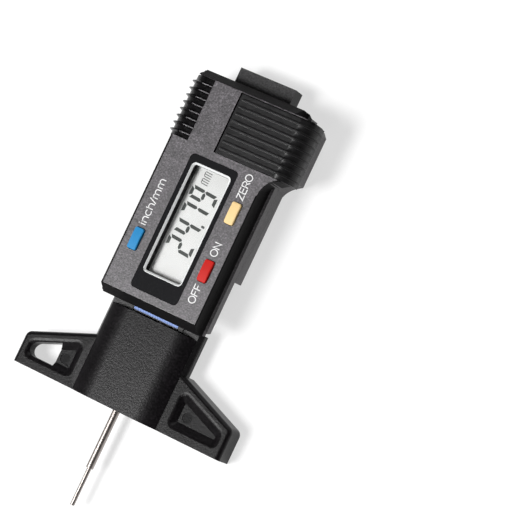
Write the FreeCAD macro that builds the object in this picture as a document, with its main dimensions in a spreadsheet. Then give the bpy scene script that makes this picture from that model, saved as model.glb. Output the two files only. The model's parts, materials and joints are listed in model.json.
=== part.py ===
# Digital depth gauge: a moulded foot and beam, a sliding display head and a
# stepped steel probe.  Millimetres.  Origin on the measuring face at the probe
# axis, +Y along the beam away from the work, +Z out of the display, +X to the
# right when the display is read with the probe pointing down.
import FreeCAD, Part
import math
import os
import Sketcher

Vector = FreeCAD.Vector
doc = FreeCAD.newDocument("depth_gauge")

# ---------------------------------------------------------------- dimensions
sheet = doc.addObject("Spreadsheet::Sheet", "Dims")
sheet.Label = "Dims"
_row = [0]


class Q:
    """A length together with the spreadsheet expression that drives it."""

    def __init__(self, value, text):
        self.v = float(value)
        self.t = text

    def __add__(self, other):
        o = as_q(other)
        return Q(self.v + o.v, "(%s + %s)" % (self.t, o.t))

    def __radd__(self, other):
        return as_q(other) + self

    def __sub__(self, other):
        o = as_q(other)
        return Q(self.v - o.v, "(%s - %s)" % (self.t, o.t))

    def __rsub__(self, other):
        return as_q(other) - self

    def __mul__(self, other):
        o = as_q(other)
        return Q(self.v * o.v, "(%s * %s)" % (self.t, o.t))

    def __rmul__(self, other):
        return as_q(other) * self

    def __truediv__(self, other):
        o = as_q(other)
        return Q(self.v / o.v, "(%s / %s)" % (self.t, o.t))

    def __neg__(self):
        return Q(-self.v, "(0 - %s)" % self.t)


def as_q(x):
    return x if isinstance(x, Q) else Q(x, "%.6f" % float(x))


def dim(alias, value, note=""):
    _row[0] += 1
    r = _row[0]
    sheet.set("A%d" % r, alias)
    sheet.set("B%d" % r, repr(float(value)))
    if note:
        sheet.set("C%d" % r, note)
    sheet.setAlias("B%d" % r, alias)
    return Q(value, "Dims." + alias)


# levels above the probe axis
back_depth = dim("back_depth", 4.0, "probe axis to the back plane")
face_level = dim("face_level", 10.2, "probe axis to the display face")
wing_face = dim("wing_face", 2.15, "front of the foot's wings")
crown_level = dim("crown_level", 4.0, "top of the crowned neck")
# foot
foot_half = dim("foot_half", 29.85, "half the measuring base")
end_height = dim("end_height", 7.9, "height of the base at its ends")
shoulder = dim("shoulder", 14.4, "height where wings meet the neck")
corner_round = dim("corner_round", 1.7)
wing_round = dim("wing_round", 1.1)
neck_half = dim("neck_half", 13.0)
neck_end = dim("neck_end", 23.1)
neck_under = dim("neck_under", 1.05)
crown_side = dim("crown_side", 12.1, "half width of the crowned part")
crown_edge = dim("crown_edge", 2.2, "level of the crown's side edge")
neck_back_half = dim("neck_back_half", 10.5)
neck_side = dim("neck_side", 0.95, "top of the neck's side flange")
crown_half = dim("crown_half", 6.1)
ledge_half = dim("ledge_half", 12.1)
ledge_end = dim("ledge_end", 24.9)
ledge_level = dim("ledge_level", 2.2)
foot_wall = dim("foot_wall", 1.8)
web_back = dim("web_back", 0.6, "back of the wing web below the axis")
pocket_floor = dim("pocket_floor", 0.9)
bore_radius = dim("bore_radius", 0.97)
# beam
beam_half = dim("beam_half", 7.8)
beam_back = dim("beam_back", 2.0)
beam_face = dim("beam_face", 2.5)
beam_end = dim("beam_end", 86.9)
board_half = dim("board_half", 6.3)
board_thick = dim("board_thick", 0.7)
board_start = dim("board_start", 23.5)
board_end = dim("board_end", 82.0)
groove_half = dim("groove_half", 1.8)
groove_roof = dim("groove_roof", 1.15)
# probe
reading = dim("reading", 24.79, "probe beyond the measuring face at rest")
rod_radius = dim("rod_radius", 0.92)
tip_radius = dim("tip_radius", 0.55)
tip_length = dim("tip_length", 9.65)
collar_radius = dim("collar_radius", 1.08)
boss_start = dim("boss_start", 42.5)
boss_end = dim("boss_end", 50.0)
# head
head_half = dim("head_half", 13.5)
head_start = dim("head_start", 24.35)
head_end = dim("head_end", 82.8)
end_slope = dim("end_slope", 1.9)
slope_level = dim("slope_level", 6.5)
rim_level = dim("rim_level", 3.0)
flange_half = dim("flange_half", 14.85)
flange_level = dim("flange_level", 5.3)
ramp_level = dim("ramp_level", 7.6)
shell_wall = dim("shell_wall", 1.4)
ceiling = dim("ceiling", 8.6)
cavity_start = dim("cavity_start", 26.3)
cavity_end = dim("cavity_end", 64.6)
glide_level = dim("glide_level", 2.62)
# grips
grip_start = dim("grip_start", 65.1)
grip_end = dim("grip_end", 80.8)
grip_edge = dim("grip_edge", 8.75)
fin_first = dim("fin_first", 66.22)
fin_pitch = dim("fin_pitch", 1.8)
fin_thick = dim("fin_thick", 0.5)
roll_x = dim("roll_x", 10.6, "axis of the left grip's rolled edge")
roll_z = dim("roll_z", 4.3)
roll_radius = dim("roll_radius", 5.2)
rib_height = dim("rib_height", 0.75)
rib_base = dim("rib_base", 0.5, "half the rib's foot")
bulge_half = dim("bulge_half", 19.4)
# window
bezel_left = dim("bezel_left", 6.25)
bezel_right = dim("bezel_right", 7.05)
bezel_low = dim("bezel_low", 28.25)
bezel_high = dim("bezel_high", 63.05)
bezel_round = dim("bezel_round", 1.2)
bezel_thick = dim("bezel_thick", 0.9)
view_left = dim("view_left", 4.55)
view_right = dim("view_right", 5.45)
view_low = dim("view_low", 33.15)
view_high = dim("view_high", 60.75)
# buttons
key_wide = dim("key_wide", 2.5)
key_long = dim("key_long", 5.5)
key_gap = dim("key_gap", 0.1)
key_top = dim("key_top", 10.95)
unit_x = dim("unit_x", -9.85)
unit_y = dim("unit_y", 38.9)
power_x = dim("power_x", 10.1)
power_y = dim("power_y", 38.75)
zero_x = dim("zero_x", 10.1)
zero_y = dim("zero_y", 53.6)
# battery
cell_x = dim("cell_x", 9.5)
cell_y = dim("cell_y", 73.1)
cell_radius = dim("cell_radius", 5.8)
cell_height = dim("cell_height", 5.4)
cell_base = dim("cell_base", 3.75)
cover_left = dim("cover_left", 1.35)
cover_gap = dim("cover_gap", 0.15)
# board and back
pcb_half = dim("pcb_half", 11.9)
pcb_start = dim("pcb_start", 26.5)
pcb_end = dim("pcb_end", 64.4)
pcb_level = dim("pcb_level", 2.8)
pcb_thick = dim("pcb_thick", 1.0)
pcb_screw_x = dim("pcb_screw_x", 10.4)
pcb_screw_low = dim("pcb_screw_low", 29.6)
pcb_screw_high = dim("pcb_screw_high", 62.0)
back_start = dim("back_start", 39.4)
back_end = dim("back_end", 82.0)
back_half = dim("back_half", 13.3)
seat_depth = dim("seat_depth", 0.4, "screw seats below the probe axis")
screw_x = dim("screw_x", 11.0)
screw_low = dim("screw_low", 45.5)
screw_high = dim("screw_high", 77.6)
screw_side_x = dim("screw_side_x", 16.4)
screw_side_y = dim("screw_side_y", 78.4)
screw_length = dim("screw_length", 6.4)
channel_gap = dim("channel_gap", 0.12)
doc.recompute()


# ------------------------------------------------------------------- helpers
PLANES = {"XY": "XY_Plane", "XZ": "XZ_Plane", "YZ": "YZ_Plane"}


def plane_of(body, key):
    for f in body.Origin.OriginFeatures:
        if f.Role == PLANES[key]:
            return f
    raise RuntimeError("no plane " + key)


def axis_of(body, role):
    for f in body.Origin.OriginFeatures:
        if f.Role == role:
            return f
    raise RuntimeError("no axis " + role)


def new_body(label, x=None, y=None, z=None):
    b = doc.addObject("PartDesign::Body", label)
    b.Label = label
    for key, val in (("x", x), ("y", y), ("z", z)):
        if val is not None:
            b.setExpression("Placement.Base." + key, as_q(val).t)
    return b


def bind_constraint(sk, kind, refs, value, count):
    value = as_q(value)
    i = sk.addConstraint(Sketcher.Constraint(kind, *refs, value.v))
    if "Dims." in value.t:
        name = "c%d" % count
        sk.renameConstraint(i, name)
        sk.setExpression("Constraints." + name, value.t)


def sketch(body, name, plane, at, loops):
    """Closed loops on one of the body's own planes, at a level along its normal.
    A loop is a circle ("circle", x, y, r) or a list of points; a point may
    carry (radius, 'ccw' or 'cw') for an arc to the next point."""
    sk = body.newObject("Sketcher::SketchObject", name)
    sk.AttachmentSupport = [(plane_of(body, plane), "")]
    sk.MapMode = "FlatFace"
    at = as_q(at)
    sk.AttachmentOffset = FreeCAD.Placement(Vector(0, 0, at.v), FreeCAD.Rotation())
    if "Dims." in at.t:
        sk.setExpression("AttachmentOffset.Base.z", at.t)
    n = 0
    for loop in loops:
        if loop[0] == "circle":
            _, cx, cy, r = loop
            cx, cy, r = as_q(cx), as_q(cy), as_q(r)
            g = sk.addGeometry(Part.Circle(Vector(cx.v, cy.v, 0), Vector(0, 0, 1), r.v), False)
            bind_constraint(sk, "DistanceX", (-1, 1, g, 3), cx, n)
            bind_constraint(sk, "DistanceY", (-1, 1, g, 3), cy, n + 1)
            bind_constraint(sk, "Radius", (g,), r, n + 2)
            n += 3
            continue
        pts = [(as_q(p[0]), as_q(p[1]), p[2] if len(p) > 2 else None) for p in loop]
        ids, ends = [], []
        for k, (x, y, arc) in enumerate(pts):
            x2, y2, _ = pts[(k + 1) % len(pts)]
            a, b = Vector(x.v, y.v, 0), Vector(x2.v, y2.v, 0)
            if arc is None:
                ids.append(sk.addGeometry(Part.LineSegment(a, b), False))
                ends.append((1, 2))
            else:
                r, turn = as_q(arc[0]), arc[1]
                mid, half = (a + b) * 0.5, (b - a).Length / 2
                h = math.sqrt(max(r.v**2 - half**2, 0.0))
                left = Vector(-(b - a).y, (b - a).x, 0).normalize()
                c = mid + left * (h if turn == "ccw" else -h)
                if turn == "ccw":
                    s, e = a - c, b - c
                else:
                    s, e = b - c, a - c
                a1, a2 = math.atan2(s.y, s.x), math.atan2(e.y, e.x)
                if a2 < a1:
                    a2 += 2 * math.pi
                circle = Part.Circle(c, Vector(0, 0, 1), r.v)
                ids.append(sk.addGeometry(Part.ArcOfCircle(circle, a1, a2), False))
                ends.append((1, 2) if turn == "ccw" else (2, 1))
        m = len(ids)
        for k in range(m):
            j = (k + 1) % m
            sk.addConstraint(
                Sketcher.Constraint("Coincident", ids[k], ends[k][1], ids[j], ends[j][0])
            )
        for k, (x, y, arc) in enumerate(pts):
            bind_constraint(sk, "DistanceX", (-1, 1, ids[k], ends[k][0]), x, n)
            bind_constraint(sk, "DistanceY", (-1, 1, ids[k], ends[k][0]), y, n + 1)
            n += 2
            if arc is not None:
                bind_constraint(sk, "Radius", (ids[k],), arc[0], n)
                n += 1
    return sk


def volume(body):
    return body.Shape.Volume if not body.Shape.isNull() else 0.0


def pad(body, name, plane, low, high, loops):
    """Adds the loops' prism between two levels along the plane's world axis."""
    low, high = as_q(low), as_q(high)
    at = -high if plane == "XZ" else low
    before = volume(body)
    sk = sketch(body, name + "_sketch", plane, at, loops)
    f = body.newObject("PartDesign::Pad", name)
    f.Profile = sk
    f.Length = (high - low).v
    f.setExpression("Length", (high - low).t)
    doc.recompute()
    if volume(body) <= before + 1e-6:
        raise RuntimeError("%s added nothing" % name)
    return f


def pocket(body, name, plane, low, high, loops):
    """Removes the loops' prism between two levels along the plane's world axis."""
    low, high = as_q(low), as_q(high)
    at = -low if plane == "XZ" else high
    before = volume(body)
    sk = sketch(body, name + "_sketch", plane, at, loops)
    f = body.newObject("PartDesign::Pocket", name)
    f.Profile = sk
    f.Length = (high - low).v
    f.setExpression("Length", (high - low).t)
    doc.recompute()
    if volume(body) >= before - 1e-6:
        raise RuntimeError("%s cut nothing" % name)
    return f


def rect(x0, x1, y0, y1):
    return [(x0, y0), (x1, y0), (x1, y1), (x0, y1)]


def round_rect(x0, x1, y0, y1, r):
    a = (r, "ccw")
    return [
        (x0 + r, y0), (x1 - r, y0, a), (x1, y0 + r), (x1, y1 - r, a),
        (x1 - r, y1), (x0 + r, y1, a), (x0, y1 - r), (x0, y0 + r, a),
    ]


def dress(body, kind, name, size, test):
    """Fillet or chamfer on the edges of the body's tip that pass the test."""
    base = body.Tip
    edges = [
        "Edge%d" % (i + 1) for i, e in enumerate(base.Shape.Edges) if test(e)
    ]
    if not edges:
        raise RuntimeError(name + " found no edge")
    f = body.newObject("PartDesign::" + kind, name)
    f.Base = (base, edges)
    prop = "Radius" if kind == "Fillet" else "Size"
    size = as_q(size)
    setattr(f, prop, size.v)
    if "Dims." in size.t:
        f.setExpression(prop, size.t)
    doc.recompute()
    return f


def near(a, b, tol=0.02):
    return abs(a - b) < tol


def pattern(body, name, feature, role, pitch, count):
    f = body.newObject("PartDesign::LinearPattern", name)
    f.Originals = [feature]
    f.Direction = (axis_of(body, role), [""])
    f.Length = pitch.v * (count - 1)
    f.setExpression("Length", "%s * %d" % (pitch.t, count - 1))
    f.Occurrences = count
    body.Tip = f
    doc.recompute()
    return f


def revolve(body, name, plane, loops, role):
    sk = sketch(body, name + "_sketch", plane, 0, loops)
    f = body.newObject("PartDesign::Revolution", name)
    f.Profile = sk
    f.ReferenceAxis = (sk, ["V_Axis"]) if role == "V" else (sk, ["H_Axis"])
    f.Angle = 360.0
    doc.recompute()
    return f


def bind(obj, **values):
    for key, val in values.items():
        val = as_q(val)
        setattr(obj, key, val.v)
        if "Dims." in val.t:
            obj.setExpression(key, val.t)


def place(obj, x, y, z):
    x, y, z = as_q(x), as_q(y), as_q(z)
    obj.Placement = FreeCAD.Placement(Vector(x.v, y.v, z.v), obj.Placement.Rotation)
    for key, val in (("x", x), ("y", y), ("z", z)):
        if "Dims." in val.t:
            obj.setExpression("Placement.Base." + key, val.t)


def box(name, x0, x1, y0, y1, z0, z1):
    o = doc.addObject("Part::Box", name)
    x0, x1, y0, y1, z0, z1 = (as_q(v) for v in (x0, x1, y0, y1, z0, z1))
    bind(o, Length=x1 - x0, Width=y1 - y0, Height=z1 - z0)
    place(o, x0, y0, z0)
    return o


def cylinder(name, x, y, z0, z1, r):
    o = doc.addObject("Part::Cylinder", name)
    z0, z1 = as_q(z0), as_q(z1)
    bind(o, Radius=r, Height=z1 - z0)
    place(o, x, y, z0)
    return o


def cone(name, x, y, z0, z1, r0, r1):
    o = doc.addObject("Part::Cone", name)
    z0, z1 = as_q(z0), as_q(z1)
    bind(o, Radius1=r0, Radius2=r1, Height=z1 - z0)
    place(o, x, y, z0)
    return o


def fuse(name, parts):
    o = doc.addObject("Part::MultiFuse", name)
    o.Shapes = parts
    o.Label = name
    return o


def cut(name, base, tool):
    o = doc.addObject("Part::Cut", name)
    o.Base = base
    o.Tool = tool
    o.Label = name
    return o


subparts = []


# ------------------------------------------------------------------ foot_beam
# One moulding: measuring base with two pocketed wings, crowned neck, beam.
foot = new_body("foot_beam")
subparts.append(foot)
pad(foot, "wings", "XY", -back_depth, wing_face, [[
    (-foot_half, 0), (foot_half, 0), (foot_half, end_height),
    (neck_half, shoulder), (-neck_half, shoulder), (-foot_half, end_height),
]])
dress(foot, "Fillet", "wing_corners", corner_round, lambda e: (
    near(abs(e.CenterOfMass.x), 29.85) and near(e.CenterOfMass.y, 7.9)
    and e.BoundBox.ZLength > 5))
dress(foot, "Fillet", "wing_edges", wing_round, lambda e: (
    near(e.BoundBox.ZMin, 2.15) and near(e.BoundBox.ZMax, 2.15)
    and abs(e.CenterOfMass.x) > 14 and e.CenterOfMass.y > 1.0))
pad(foot, "neck", "XY", -neck_under, neck_side - 0.5, [
    rect(-neck_half, neck_half, 12, ledge_end)])
pad(foot, "neck_core", "XY", -neck_under, wing_face, [rect(-crown_side, crown_side, 0, neck_end)])
pad(foot, "neck_back", "XY", -back_depth, 0, [rect(-neck_back_half, neck_back_half, 4, neck_end)])
pad(foot, "side_flange", "XZ", 12, ledge_end, [[
    (-neck_half, 0), (neck_half, 0), (neck_half, neck_side), (crown_side, crown_edge - 0.1),
    (-crown_side, crown_edge - 0.1), (-neck_half, neck_side),
]])
rise = crown_level - crown_edge
side = crown_side - crown_half
crown_arc = (side * side + rise * rise) / (rise * 2)
pad(foot, "crown", "XZ", 0, neck_end, [[
    (-crown_side, wing_face - 0.2), (crown_side, wing_face - 0.2),
    (crown_side, crown_edge, (crown_arc, "ccw")),
    (crown_half, crown_level), (-crown_half, crown_level, (crown_arc, "ccw")),
    (-crown_side, crown_edge),
]])
pad(foot, "ledge", "XY", 0, ledge_level, [rect(-ledge_half, ledge_half, 22, ledge_end)])
pad(foot, "beam", "XY", -beam_back, beam_face, [rect(-beam_half, beam_half, 20, beam_end)])
pocket(foot, "board_seat", "XY", beam_face - board_thick, beam_face + 0.5, [
    rect(-(board_half + 0.1), board_half + 0.1, board_start - 0.1, board_end + 0.1)])
pad(foot, "stop_lug", "XY", -beam_back - 1.0, -beam_back + 0.2, [
    rect(4.0, 6.0, beam_end - 2.5, beam_end - 0.5)])
pocket(foot, "rod_groove", "XY", -beam_back - 0.5, groove_roof, [
    rect(-groove_half, groove_half, ledge_end, beam_end + 1)])
pocket(foot, "rod_bore", "XZ", -0.5, ledge_end + 0.2, [("circle", 0, 0, bore_radius)])


def wing_frame(x0, x1, y0, y1, r):
    """Rounded four-sided outline on the right wing, its top edge parallel to
    the wing's sloping edge."""
    slope = (shoulder - end_height) / (foot_half - neck_half)
    x0, x1, y0, y1 = (as_q(v) for v in (x0, x1, y0, y1))
    y_right = y1 - slope * (x1 - x0)
    t = math.atan(slope.v)
    # tangent lengths at the two sloping corners
    ta = r * math.tan((math.pi / 2 + t) / 2)
    tb = r * math.tan((math.pi / 2 - t) / 2)
    a = (r, "ccw")
    return [
        (x0 + r, y0), (x1 - r, y0, a), (x1, y0 + r),
        (x1, y_right - tb, a), (x1 - tb * math.cos(t), y_right + tb * math.sin(t)),
        (x0 + ta * math.cos(t), y1 - ta * math.sin(t), a), (x0, y1 - ta), (x0, y0 + r, a),
    ]


mouth = sketch(foot, "pocket_mouth", "XY", wing_face + 0.001, [
    wing_frame(14.25, 27.8, 2.3, 11.6, 1.5)])
floor = sketch(foot, "pocket_base", "XY", pocket_floor, [
    wing_frame(15.8, 26.2, 4.0, 8.75, 0.25)])
before = volume(foot)
dip = foot.newObject("PartDesign::SubtractiveLoft", "wing_pocket")
dip.Profile = mouth
dip.Sections = [floor]
dip.Ruled = False
doc.recompute()
twin = foot.newObject("PartDesign::Mirrored", "wing_pocket_left")
twin.Originals = [dip]
twin.MirrorPlane = (plane_of(foot, "YZ"), [""])
foot.Tip = twin
doc.recompute()
if volume(foot) >= before - 1:
    raise RuntimeError("wing pockets cut nothing")
pocket(foot, "pin_marks", "XY", pocket_floor - 0.15, pocket_floor + 0.5, [
    ("circle", 17.75, 5.75, 1.3), ("circle", -17.75, 5.75, 1.3)])
# coring from the back, walls about as thick as foot_wall
pocket(foot, "core_wings", "XY", -back_depth - 0.5, -web_back, [
    [(14.8, foot_wall), (19.4, foot_wall), (19.4, 10.1), (14.8, 11.8)],
    [(20.6, foot_wall), (28.0, foot_wall), (28.0, 6.4), (20.6, 9.6)],
    [(-14.8, foot_wall), (-14.8, 11.8), (-18.3, 10.5), (-18.3, foot_wall)],
])
pocket(foot, "core_slot", "XY", -back_depth - 0.5, -1.1, [
    [(-28.7, foot_wall), (-19.2, foot_wall), (-19.2, 10.1), (-28.7, 6.1)]])
pocket(foot, "core_neck", "XY", -back_depth - 0.5, 0.9, [
    rect(2.6, 9.2, foot_wall, 10.6), rect(2.6, 9.2, 11.8, 20.6),
    rect(-9.2, -2.6, foot_wall, 10.6), rect(-9.2, -2.6, 11.8, 20.6),
])
# cord slot through the left wing
pocket(foot, "cord_slot", "XY", -back_depth - 0.5, wing_face + 1, [[
    (-19.7, 2.9), (-19.7, 8.9), (-25.7, 6.58, (2.25, "ccw")), (-27.1, 4.9, (1.69, "ccw")), (-25.4, 2.9),
]])
# fine groove along each side of the neck
pocket(foot, "side_grooves", "XY", neck_side - 0.45, neck_side - 0.15, [
    rect(neck_half - 0.3, neck_half + 0.5, shoulder + 0.4, ledge_end + 0.5),
    rect(-(neck_half + 0.5), -(neck_half - 0.3), shoulder + 0.4, ledge_end + 0.5),
])

# ---------------------------------------------------------------- scale_board
board = box("scale_board", -board_half, board_half, board_start, board_end,
            beam_face - board_thick, beam_face)
board.Label = "scale_board"
subparts.append(board)

# ------------------------------------------------------------------ probe_rod
rod = new_body("probe_rod")
subparts.append(rod)
step_y = -reading + tip_length
revolve(rod, "rod", "XY", [[
    (0, -reading), (tip_radius - 0.1, -reading), (tip_radius, -reading + 0.1),
    (tip_radius, step_y), (rod_radius - 0.08, step_y), (rod_radius, step_y + 0.08),
    (rod_radius, boss_start - 1.3), (collar_radius, boss_start - 1.3),
    (collar_radius, boss_start - 0.1), (rod_radius, boss_start - 0.1),
    (rod_radius, boss_end + 0.05), (collar_radius, boss_end + 0.05),
    (collar_radius, boss_end + 1.2), (0, boss_end + 1.2),
]], "V")

# ---------------------------------------------------------------- front_shell
shell = new_body("front_shell")
subparts.append(shell)
ramp_run = flange_half - head_half
ramp_rise = ramp_level - flange_level
ramp_arc = (ramp_run * ramp_run + ramp_rise * ramp_rise) / (ramp_run * 2)
pad(shell, "hull", "XZ", head_start, head_end, [[
    (-flange_half, rim_level), (flange_half, rim_level),
    (flange_half, flange_level, (ramp_arc, "cw")), (head_half, ramp_level),
    (head_half, face_level), (-head_half, face_level),
    (-head_half, ramp_level, (ramp_arc, "cw")), (-flange_half, flange_level),
]])
pocket(shell, "end_bevels", "YZ", -22, 22, [
    [(head_start, slope_level), (head_start + end_slope, face_level),
     (head_start + end_slope, face_level + 1), (head_start - 1, face_level + 1),
     (head_start - 1, slope_level)],
    [(head_end, slope_level), (head_end + 1, slope_level),
     (head_end + 1, face_level + 1), (head_end - end_slope, face_level + 1),
     (head_end - end_slope, face_level)],
])
pocket(shell, "end_undercuts", "YZ", -22, 22, [
    [(head_start - 1, rim_level - 0.5), (head_start + 1.5, rim_level - 0.5),
     (head_start + 1.4, rim_level), (head_start, slope_level), (head_start - 1, slope_level)],
    [(head_end, slope_level), (head_end - 0.8, rim_level), (head_end - 0.9, rim_level - 0.5),
     (head_end + 1, rim_level - 0.5), (head_end + 1, slope_level)],
])
dress(shell, "Fillet", "face_edges", 0.35, lambda e: near(e.BoundBox.ZMin, 10.2) and near(e.BoundBox.ZMax, 10.2))
flare_run = 3.7
flare_rise = 5.6
flare_arc = (flare_run**2 + flare_rise**2) / (2 * flare_run)
pad(shell, "thumb_bulge", "XY", rim_level, face_level, [[
    (12.5, 59.6), (head_half, 59.6, (flare_arc, "cw")),
    (head_half + flare_run, 59.6 + flare_rise), (bulge_half - 0.5, 65.8),
    (bulge_half, 66.5), (bulge_half, 79.8), (bulge_half - 1.0, grip_end),
    (12.5, grip_end),
]])
pocket(shell, "bulge_roll", "XZ", 58.0, 83.0, [[
    (16.2, face_level + 0.001, ), (21.0, face_level + 0.001), (21.0, 6.4),
    (bulge_half, 6.4, (4.1, "ccw")),
]])
pocket(shell, "flange_corners", "XY", rim_level - 0.5, flange_level, [
    [(flange_half - 3.0, head_start), (flange_half - 3.0, head_start - 1),
     (flange_half + 1, head_start - 1), (flange_half + 1, head_start + 1.6),
     (flange_half, head_start + 1.6)],
    [(-(flange_half - 3.0), head_start), (-flange_half, head_start + 1.6),
     (-(flange_half + 1), head_start + 1.6), (-(flange_half + 1), head_start - 1),
     (-(flange_half - 3.0), head_start - 1)],
    [(-(flange_half - 3.0), head_end), (-(flange_half - 3.0), head_end + 1),
     (-(flange_half + 1), head_end + 1), (-(flange_half + 1), head_end - 1.6),
     (-flange_half, head_end - 1.6)],
])
# left finger grip: a rolled edge with eight V ribs across it
roll_out = roll_x + roll_radius
roll_top = roll_z + roll_radius
pad(shell, "grip_bulge", "XY", rim_level, face_level, [[
    (-12.5, grip_start), (-12.5, grip_end), (-(roll_out - 0.3), grip_end),
    (-roll_out, grip_end - 0.4), (-roll_out, grip_start + 0.4), (-(roll_out - 0.3), grip_start),
]])
pocket(shell, "grip_roll", "XZ", grip_start, grip_end, [[
    (-grip_edge, roll_top), (-grip_edge, face_level + 1), (-18.0, face_level + 1),
    (-18.0, roll_z), (-roll_out, roll_z, (roll_radius, "cw")), (-roll_x, roll_top),
]])
rib_y = fin_first + fin_thick / 2
rib_low, rib_tip = roll_radius - 0.15, roll_radius + rib_height
foot_w = rib_base * 1.1


def rib_loop(level):
    return [
        (rib_y - foot_w, level + rib_low), (rib_y + foot_w, level + rib_low),
        (rib_y + 0.07, level + rib_tip), (rib_y - 0.07, level + rib_tip),
    ]


rib_sketch = sketch(shell, "grip_rib_sketch", "YZ", -roll_x, [rib_loop(roll_z)])
rib_sketch.addGeometry(
    Part.LineSegment(Vector(60, roll_z.v, 0), Vector(90, roll_z.v, 0)), True)
rib_sketch.addConstraint(Sketcher.Constraint("Horizontal", rib_sketch.GeometryCount - 1))
bind_constraint(rib_sketch, "DistanceY", (-1, 1, rib_sketch.GeometryCount - 1, 1), roll_z, 90)
rib = shell.newObject("PartDesign::Revolution", "grip_rib")
rib.Profile = rib_sketch
rib.ReferenceAxis = (rib_sketch, ["Axis0"])
rib.Angle = 90.0
doc.recompute()
if rib.Shape.BoundBox.XMin > -(roll_out.v + 0.5):
    rib.Reversed = True
    doc.recompute()
pattern(shell, "grip_ribs", rib, "Y_Axis", fin_pitch, 8)
rib_flat = pad(shell, "rib_flat", "YZ", -roll_x, -(grip_edge - 0.2), [rib_loop(roll_z)])
pattern(shell, "rib_flats", rib_flat, "Y_Axis", fin_pitch, 8)
rib_foot = pad(shell, "rib_foot", "XY", rim_level + 0.5, roll_z, [[
    (-(roll_x + rib_low), rib_y + foot_w), (-(roll_x + rib_low), rib_y - foot_w),
    (-(roll_x + rib_tip), rib_y - 0.07), (-(roll_x + rib_tip), rib_y + 0.07),
]])
pattern(shell, "rib_feet", rib_foot, "Y_Axis", fin_pitch, 8)
pocket(shell, "rib_trim", "XY", face_level - 0.08, face_level + 1, [
    rect(-roll_out, -(grip_edge + 0.02), grip_start, grip_end)])
# seat of the battery cover
roll_r = 3.4
pocket(shell, "cover_seat", "XZ", grip_start - 0.1, grip_end - 0.2, [[
    (-cover_left, 9.05), (15.2, 9.05, (roll_r, "cw")), (15.2 + roll_r, 9.05 - roll_r),
    (15.2 + roll_r, rim_level - 0.5), (22.0, rim_level - 0.5), (22.0, 11.5),
    (-cover_left, 11.5),
]])
pocket(shell, "cover_tracks", "XY", 9.05, 9.5, [
    rect(-cover_left, 22.0, grip_start - 0.6, grip_start + 0.2),
    rect(-cover_left, 22.0, grip_end - 0.5, grip_end + 0.25),
])
# inside
pocket(shell, "cavity", "XY", rim_level - 0.5, ceiling, [
    rect(-(head_half - shell_wall), head_half - shell_wall, cavity_start, cavity_end)])
pocket(shell, "grip_core", "XY", rim_level - 0.5, 6.6, [
    rect(-(head_half - 1.7), -2.7, cavity_end + 1.8, grip_end)])
pad(shell, "glides", "XY", glide_level, rim_level + 0.3, [
    rect(-(beam_half - 0.1), beam_half - 0.1, ledge_end, cavity_start),
    rect(-(beam_half - 0.1), beam_half - 0.1, cavity_end, grip_end + 0.5),
])
pocket(shell, "cell_well", "XY", cell_base - 0.33, 9.6, [
    ("circle", cell_x, cell_y, cell_radius + 0.2)])
pad(shell, "screw_posts", "XY", rim_level, ceiling + 0.2, [
    ("circle", -screw_x, screw_low, 1.8), ("circle", screw_x, screw_low, 1.8)])
pad(shell, "grip_post", "XY", rim_level, 6.8, [("circle", -screw_x, screw_high, 1.8)])
pad(shell, "board_posts", "XY", pcb_level + pcb_thick, ceiling + 0.2, [
    ("circle", sx * pcb_screw_x, sy, 1.25) for sx in (-1, 1) for sy in (pcb_screw_low, pcb_screw_high)])
pocket(shell, "screw_pilots", "XY", rim_level - 0.5, 6.3, [
    ("circle", -screw_x, screw_low, 0.62), ("circle", screw_x, screw_low, 0.62),
    ("circle", screw_side_x, screw_side_y, 0.62), ("circle", -screw_x, screw_high, 0.62)])
pocket(shell, "board_pilots", "XY", pcb_level + pcb_thick - 0.2, 7.2, [
    ("circle", sx * pcb_screw_x, sy, 0.42) for sx in (-1, 1) for sy in (pcb_screw_low, pcb_screw_high)])
# contact slots between the board cavity and the battery well
pocket(shell, "slot_negative", "XY", cell_base - 0.33, cell_base, [rect(8.7, 10.3, 64.0, 68.0)])
pocket(shell, "slot_positive", "XY", cell_base + 0.3, cell_base + 0.7, [rect(11.4, 12.1, 64.0, 68.2)])
pocket(shell, "recess_positive", "XY", cell_base + 0.3, 8.7, [rect(8.2, 12.1, 66.85, 68.4)])
# window, display opening and key holes
pocket(shell, "bezel_seat", "XY", face_level - bezel_thick, face_level + 0.5, [
    round_rect(-bezel_left, bezel_right, bezel_low, bezel_high, bezel_round)])
pocket(shell, "display_opening", "XY", ceiling - 0.5, face_level, [
    rect(-(view_left + 0.7), view_right + 0.7, view_low - 1.0, view_high + 1.0)])
for key, kx, ky in (("unit", unit_x, unit_y), ("power", power_x, power_y), ("zero", zero_x, zero_y)):
    hw, hl = key_wide / 2 + key_gap, key_long / 2 + key_gap
    pocket(shell, key + "_hole", "XY", ceiling - 0.5, face_level + 0.5, [
        round_rect(kx - hw, kx + hw, ky - hl, ky + hl, 0.6)])

# ---------------------------------------------------------------------- bezel
bezel = new_body("display_bezel")
subparts.append(bezel)
pad(bezel, "plate", "XY", face_level - bezel_thick, face_level - 0.02, [
    round_rect(-bezel_left + 0.07, bezel_right - 0.07, bezel_low + 0.07, bezel_high - 0.07, bezel_round),
])
pocket(bezel, "opening", "XY", face_level - bezel_thick - 0.2, face_level + 0.2, [
    round_rect(-view_left, view_right, view_low, view_high, 0.65)])
dress(bezel, "Chamfer", "opening_edge", 0.45, lambda e: (
    near(e.BoundBox.ZMin, 10.18) and near(e.BoundBox.ZMax, 10.18)
    and -4.7 < e.CenterOfMass.x < 5.6 and 32.0 < e.CenterOfMass.y < 61.5
    and e.BoundBox.XMin > -4.7 and e.BoundBox.XMax < 5.6
    and e.BoundBox.YMin > 32.5 and e.BoundBox.YMax < 61.0))

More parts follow.
